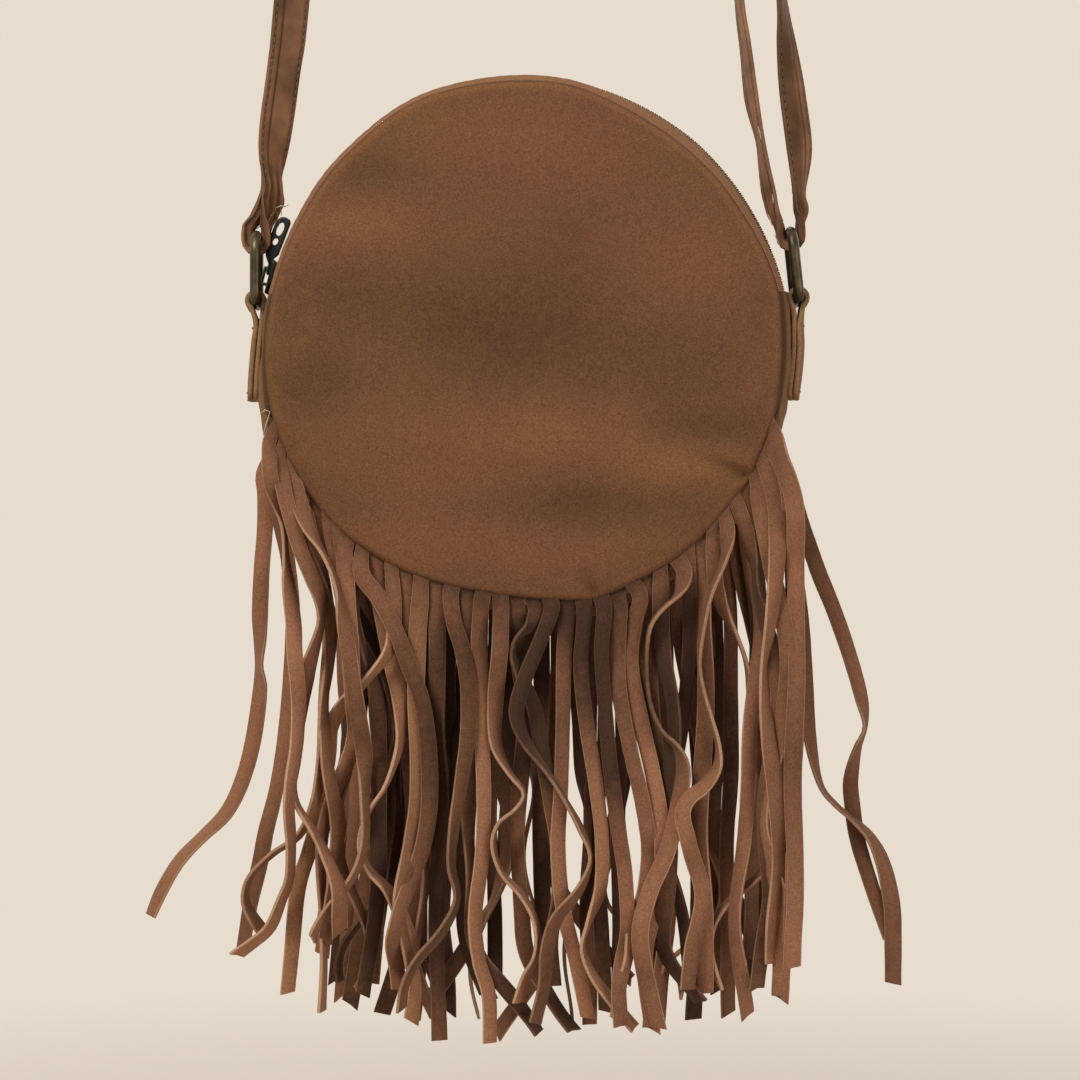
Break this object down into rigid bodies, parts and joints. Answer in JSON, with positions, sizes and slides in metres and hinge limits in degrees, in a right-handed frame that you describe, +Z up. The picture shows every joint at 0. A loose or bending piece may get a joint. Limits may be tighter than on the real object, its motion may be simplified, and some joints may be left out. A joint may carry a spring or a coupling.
{
  "type": "fringed shoulder bag",
  "caption": "Round suede shoulder bag with a zip round its top, a long cut fringe front and back and a strap held by rings.",
  "frame": {"origin": "underside of the strap where it lies over the peg it hangs from", "axes": "+Z up, along the hanging strap; -Y the bag's front; +X to the right as seen from the front"},
  "size_m": [0.2783, 0.0772, 0.8896],
  "materials": {
    "suede": "napped suede",
    "fringe_suede": "napped suede",
    "strap_leather": "smooth, slight sheen",
    "tape_cloth": "woven",
    "coil_nylon": "satin",
    "lining_cloth": "woven",
    "antique_brass": "antiqued",
    "slider_metal": "dark plated",
    "pull_metal": "gloss black"
  },
  "bodies": {
    "strap": {"strap": "strap_leather", "strap_return": "strap_leather"},
    "adjuster": {"adjuster": "antique_brass"},
    "left_ring": {"left_ring": "antique_brass"},
    "bag": {"front_panel": "suede", "back_panel": "suede", "gusset": "suede", "zip_facing_front": "suede", "zip_facing_back": "suede", "zip_tape_front": "tape_cloth", "zip_tape_back": "tape_cloth", "zip_coil_front": "coil_nylon", "zip_coil_back": "coil_nylon", "left_tab": "suede", "right_tab": "suede", "lining_front": "lining_cloth", "lining_back": "lining_cloth", "lining_gusset": "lining_cloth", "front_fringe": "fringe_suede", "back_fringe": "fringe_suede"},
    "right_ring": {"right_ring": "antique_brass"},
    "zip_slider": {"zip_slider": "slider_metal"},
    "zip_pull": {"zip_pull": "pull_metal"}
  },
  "joints": [
    {"name": "left_ring_swing", "type": "hinge", "parent": "strap", "child": "left_ring", "pos_m": [-0.10167, 0, -0.586], "axis": [0, -1, 0], "range_deg": [-3, 10]},
    {"name": "bag_swing", "type": "hinge", "parent": "left_ring", "child": "bag", "pos_m": [-0.10167, 0, -0.6105], "axis": [0, -1, 0], "range_deg": [-10, 3]},
    {"name": "right_ring_swing", "type": "hinge", "parent": "bag", "child": "right_ring", "pos_m": [0.10167, 0, -0.6105], "axis": [0, -1, 0], "range_deg": [-3, 10]},
    {"name": "zip_slide", "type": "hinge", "parent": "bag", "child": "zip_slider", "pos_m": [0, 0, -0.626], "axis": [0, 1, 0], "range_deg": [0, 112]},
    {"name": "pull_swing", "type": "hinge", "parent": "zip_slider", "child": "zip_pull", "pos_m": [-0.09691, 0, -0.59776], "axis": [-0.968, 0, 0.2511], "range_deg": [-70, 70]},
    {"name": "adjuster_slide", "type": "slide", "parent": "strap", "child": "adjuster", "axis": [-0.1584, 0, 0.9874], "range_m": [-0.07, 0.11], "deforming": ["strap_return"]}
  ],
  "couplings": [
    {"joint": "left_ring_swing", "follows": "bag_swing", "ratio": -1},
    {"joint": "right_ring_swing", "follows": "bag_swing", "ratio": -1}
  ]
}
